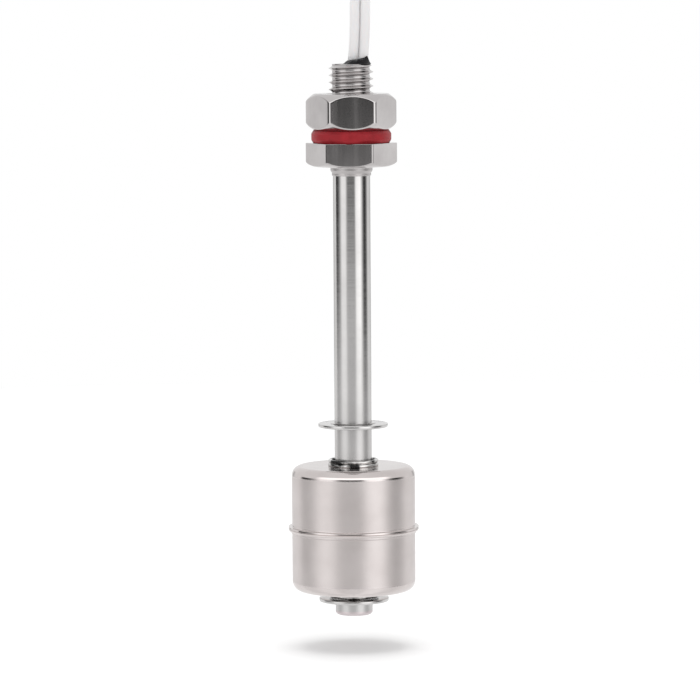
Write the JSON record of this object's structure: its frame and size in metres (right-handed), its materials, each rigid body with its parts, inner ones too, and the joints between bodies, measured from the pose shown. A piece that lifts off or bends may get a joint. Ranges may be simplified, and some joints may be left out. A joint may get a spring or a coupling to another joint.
{
  "type": "float level switch",
  "caption": "Vertical float level switch: a threaded stud with hex flange, lock nut and gasket, a thin stem, and a cylindrical float that slides between two stop rings.",
  "frame": {"origin": "centre of the hex flange's top face, where the gasket seats on the stud", "axes": "+Z along the stud, away from the stem; -Y faces the front; the part is held by its stud and keeps this frame"},
  "size_m": [0.0282, 0.028, 0.2126],
  "materials": {
    "stainless_steel": "polished, turned and drawn stainless steel",
    "float_steel": "drawn stainless sheet with fine scuffs",
    "red_silicone": "satin silicone rubber",
    "black_potting": "glossy cast epoxy",
    "lead_insulation": "soft white insulation",
    "tinned_wire": "tinned copper strand",
    "reed_glass": "clear green sealing glass",
    "blade_metal": "nickel iron",
    "ferrite": "sintered ferrite",
    "spacer_plastic": "natural plastic",
    "stem_resin": "cast epoxy",
    "tie_plastic": "coated wire tie"
  },
  "bodies": {
    "stem": {"threaded_fitting": "stainless_steel", "gasket": "red_silicone", "stem_tube": "stainless_steel", "stem_end_cap": "stainless_steel", "upper_stop_ring": "stainless_steel", "lower_stop_ring": "stainless_steel", "reed_glass": "reed_glass", "reed_blade_upper": "blade_metal", "reed_blade_lower": "blade_metal", "reed_sleeve": "spacer_plastic", "inner_lead_a": "lead_insulation", "inner_lead_b": "lead_insulation", "conductor_upper": "tinned_wire", "conductor_lower": "tinned_wire", "solder_joint_upper": "tinned_wire", "solder_joint_lower": "tinned_wire", "stem_resin": "stem_resin", "potting_seal": "black_potting", "lead_a": "lead_insulation", "lead_b": "lead_insulation", "lead_hank": "lead_insulation", "hank_tie": "tie_plastic", "lead_tail_a": "lead_insulation", "lead_tail_b": "lead_insulation", "lead_tip_a": "tinned_wire", "lead_tip_b": "tinned_wire"},
    "float": {"float_upper_shell": "float_steel", "float_lower_shell": "float_steel", "float_inner_tube": "float_steel", "float_magnet": "ferrite", "magnet_spacer_upper": "spacer_plastic", "magnet_spacer_lower": "spacer_plastic"},
    "nut": {"mounting_nut": "stainless_steel"}
  },
  "joints": [
    {"name": "float_travel", "type": "slide", "parent": "stem", "child": "float", "axis": [0, 0, 1], "range_m": [0, 0.0068]},
    {"name": "nut_travel", "type": "slide", "parent": "stem", "child": "nut", "axis": [0, 0, 1], "range_m": [0, 0.0065]}
  ]
}
